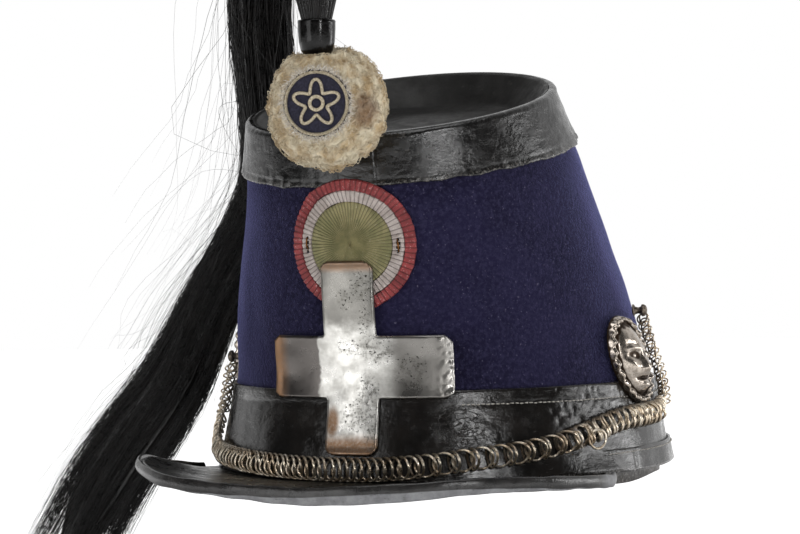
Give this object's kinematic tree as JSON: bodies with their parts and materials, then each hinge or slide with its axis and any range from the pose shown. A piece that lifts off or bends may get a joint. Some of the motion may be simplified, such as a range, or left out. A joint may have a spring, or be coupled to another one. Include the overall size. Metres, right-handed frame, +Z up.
{
  "type": "kepi",
  "caption": "Felt kepi with leather bands and peak, plain cross, pleated cockade, wool pompom, drooping hair plume and chin chain.",
  "frame": {"origin": "middle of the head opening, in the plane of the crown's lower rim, where a head holds the hat", "axes": "+Z up out of the top, -Y to the front where the peak is, +X to the wearer's left"},
  "size_m": [0.2914, 0.2504, 0.3264],
  "materials": {
    "felt": "dark blue wool felt",
    "black_leather": "worn, polished, cracked in places",
    "tarnished_silver": "tarnished white metal with dark pits",
    "red_cloth": "pleated, faded",
    "white_cloth": "pleated, faded",
    "green_cloth": "pleated, faded",
    "cream_wool": "matted wool with stains",
    "blue_cloth": "fine dark blue cloth",
    "gold_cord": "dull gold thread",
    "black_gloss": "black lacquer",
    "black_hair": "black horsehair",
    "chain_steel": "steel with brown patina"
  },
  "bodies": {
    "root": {"crown_body": "felt", "top_band": "black_leather", "top_panel": "black_leather", "base_band": "black_leather", "edge_strip": "black_leather", "sweatband": "black_leather", "peak": "black_leather", "peak_binding": "black_leather", "cross": "tarnished_silver", "cockade_red": "red_cloth", "cockade_white": "white_cloth", "cockade_green": "green_cloth", "pompom": "cream_wool", "badge_disc": "blue_cloth", "badge_cord": "gold_cord", "plume_socket": "black_gloss", "plume": "black_hair", "boss_left": "tarnished_silver", "boss_right": "tarnished_silver", "chin_chain": "chain_steel", "chain_stud_right": "chain_steel", "chain_stud_left": "chain_steel"}
  },
  "joints": []
}
